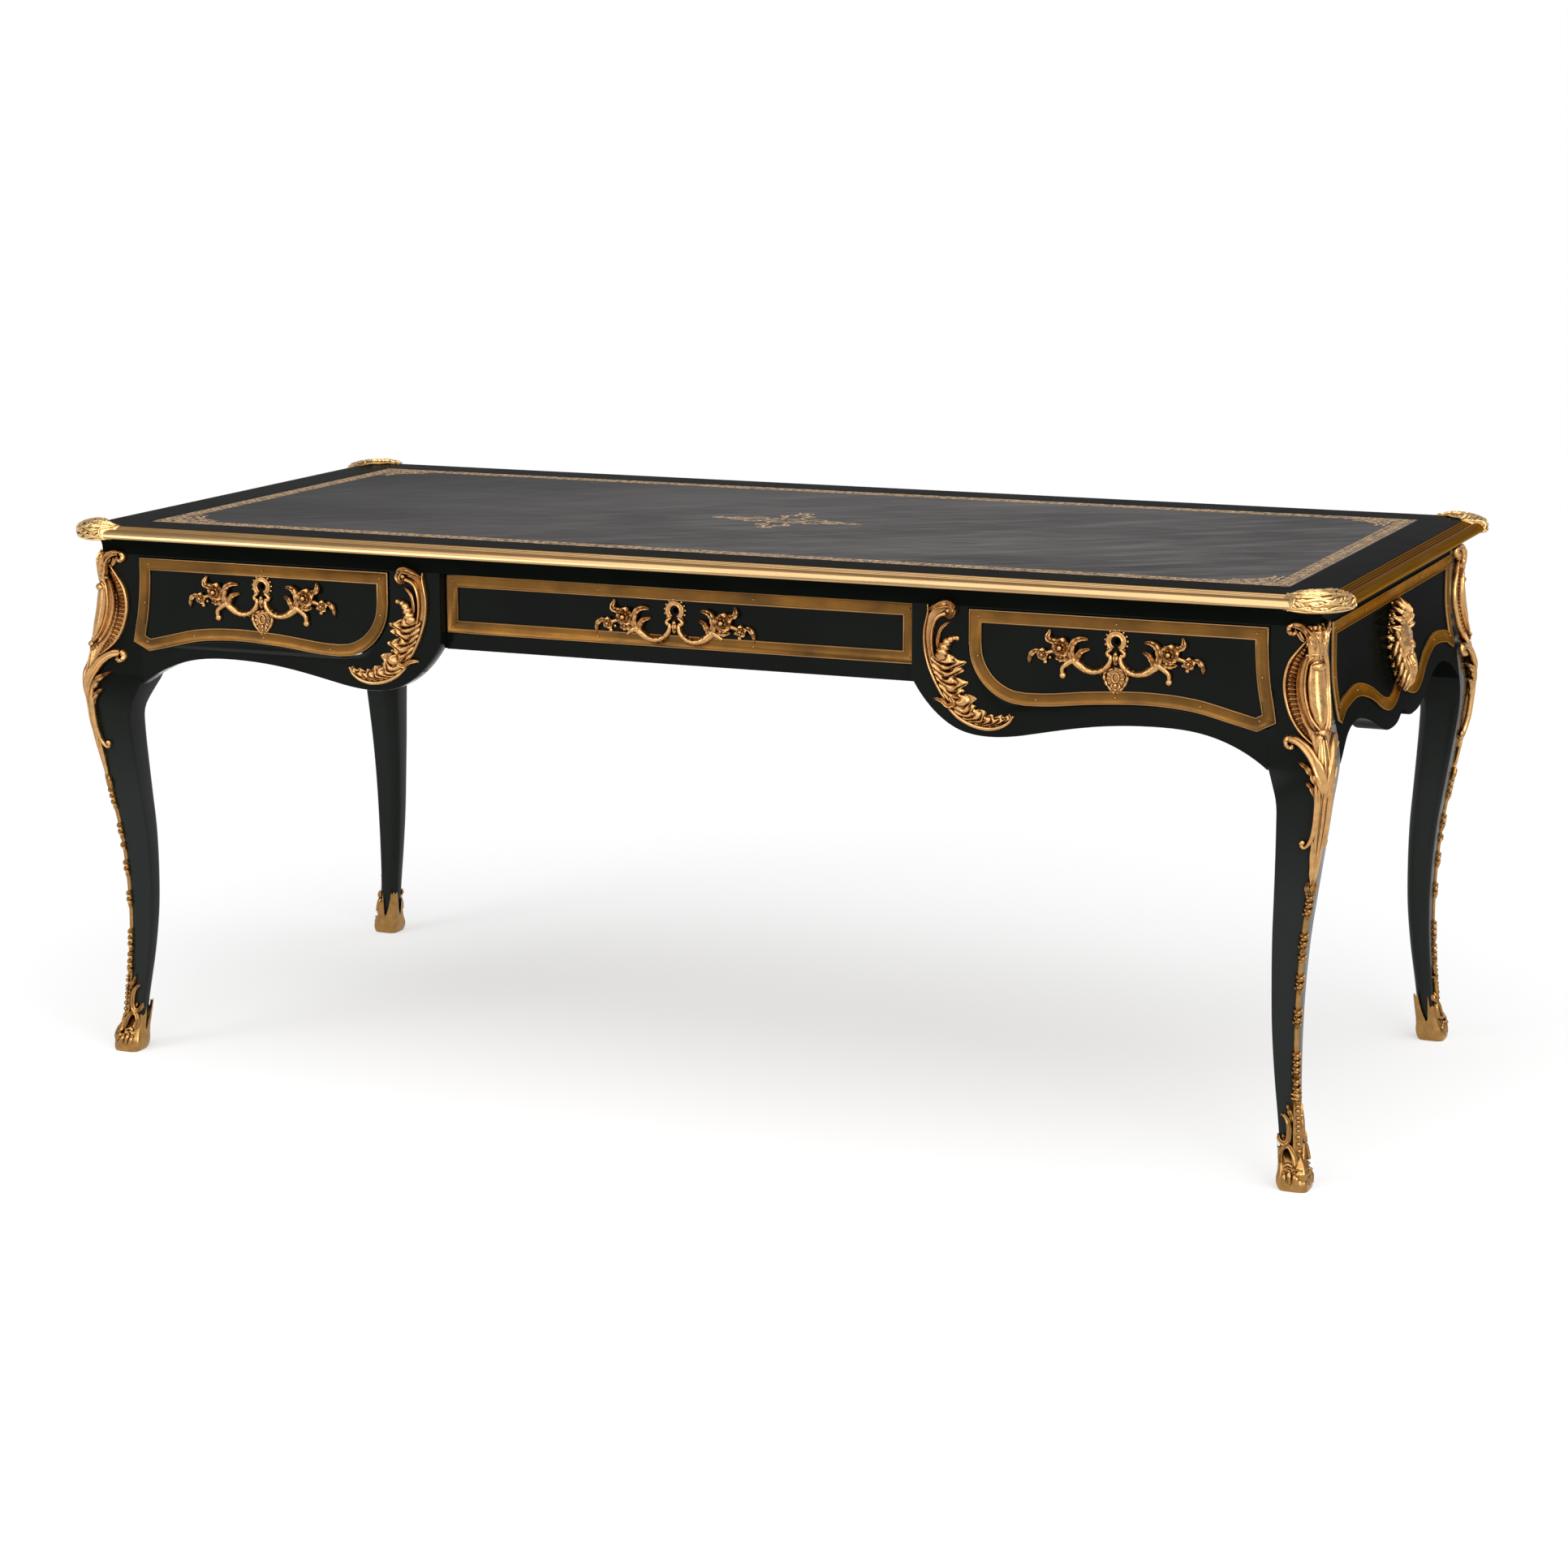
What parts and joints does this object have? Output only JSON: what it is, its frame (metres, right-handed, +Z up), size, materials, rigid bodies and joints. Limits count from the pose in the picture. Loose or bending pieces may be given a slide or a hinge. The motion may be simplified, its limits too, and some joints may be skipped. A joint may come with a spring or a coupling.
{
  "type": "bureau plat writing desk",
  "caption": "Long ebonised writing desk on cabriole legs with gilt-bronze mounts, a tooled leather top and a row of frieze drawers over an arched kneehole.",
  "frame": {"origin": "on the floor, under the middle of the top", "axes": "+X along the desk to the sitter's right as seen from the front, the drawers open towards -Y, +Z up"},
  "size_m": [1.868, 0.904, 0.783],
  "materials": {
    "ebonised_wood": "glossy black lacquer",
    "oak": "planed, waxed",
    "tooled_leather": "worn, gold tooled",
    "gilt_bronze": "cast, chased and gilt",
    "moulding_brass": "drawn and polished",
    "flat_brass": "rolled, lightly tarnished",
    "lock_steel": "filed"
  },
  "bodies": {
    "carcass": {"back_bandings": "flat_brass", "back_frieze": "ebonised_wood", "back_pulls": "gilt_bronze", "centre_rail": "ebonised_wood", "cornice_moulding": "ebonised_wood", "drawer_runners": "oak", "drawer_stops": "oak", "edge_mouldings_long": "moulding_brass", "edge_mouldings_short": "moulding_brass", "front_apron_left": "ebonised_wood", "front_apron_right": "ebonised_wood", "front_top_rail": "ebonised_wood", "leg_back_left": "ebonised_wood", "leg_back_right": "ebonised_wood", "leg_chute_back_left": "gilt_bronze", "leg_chute_back_right": "gilt_bronze", "leg_chute_front_left": "gilt_bronze", "leg_chute_front_right": "gilt_bronze", "leg_fillets": "gilt_bronze", "leg_front_left": "ebonised_wood", "leg_front_right": "ebonised_wood", "partition_left": "oak", "partition_right": "oak", "sabot_back_left": "gilt_bronze", "sabot_back_right": "gilt_bronze", "sabot_front_left": "gilt_bronze", "sabot_front_right": "gilt_bronze", "scroll_mounts": "gilt_bronze", "side_apron_left": "ebonised_wood", "side_apron_right": "ebonised_wood", "side_bandings": "flat_brass", "side_masks": "gilt_bronze", "top_corner_mount_back_left": "gilt_bronze", "top_corner_mount_back_right": "gilt_bronze", "top_corner_mount_front_left": "gilt_bronze", "top_corner_mount_front_right": "gilt_bronze", "top_panel": "oak", "top_surround": "ebonised_wood", "writing_leather": "tooled_leather"},
    "left_drawer": {"left_drawer_banding": "flat_brass", "left_drawer_bottom": "oak", "left_drawer_box": "oak", "left_drawer_front": "ebonised_wood", "left_drawer_lock": "lock_steel", "left_drawer_pull": "gilt_bronze"},
    "left_lock_bolt": {"left_drawer_lock_bolt": "lock_steel"},
    "centre_drawer": {"centre_drawer_banding": "flat_brass", "centre_drawer_bottom": "oak", "centre_drawer_box": "oak", "centre_drawer_front": "ebonised_wood", "centre_drawer_lock": "lock_steel", "centre_drawer_pull": "gilt_bronze"},
    "centre_lock_bolt": {"centre_drawer_lock_bolt": "lock_steel"},
    "right_drawer": {"right_drawer_banding": "flat_brass", "right_drawer_bottom": "oak", "right_drawer_box": "oak", "right_drawer_front": "ebonised_wood", "right_drawer_lock": "lock_steel", "right_drawer_pull": "gilt_bronze"},
    "right_lock_bolt": {"right_drawer_lock_bolt": "lock_steel"}
  },
  "joints": [
    {"name": "left_drawer_slide", "type": "slide", "parent": "carcass", "child": "left_drawer", "axis": [0, -1, 0], "range_m": [0, 0.4]},
    {"name": "left_lock_bolt_throw", "type": "slide", "parent": "left_drawer", "child": "left_lock_bolt", "axis": [0, 0, 1], "range_m": [0, 0.009]},
    {"name": "centre_drawer_slide", "type": "slide", "parent": "carcass", "child": "centre_drawer", "axis": [0, -1, 0], "range_m": [0, 0.4]},
    {"name": "centre_lock_bolt_throw", "type": "slide", "parent": "centre_drawer", "child": "centre_lock_bolt", "axis": [0, 0, 1], "range_m": [0, 0.009]},
    {"name": "right_drawer_slide", "type": "slide", "parent": "carcass", "child": "right_drawer", "axis": [0, -1, 0], "range_m": [0, 0.4]},
    {"name": "right_lock_bolt_throw", "type": "slide", "parent": "right_drawer", "child": "right_lock_bolt", "axis": [0, 0, 1], "range_m": [0, 0.009]}
  ]
}
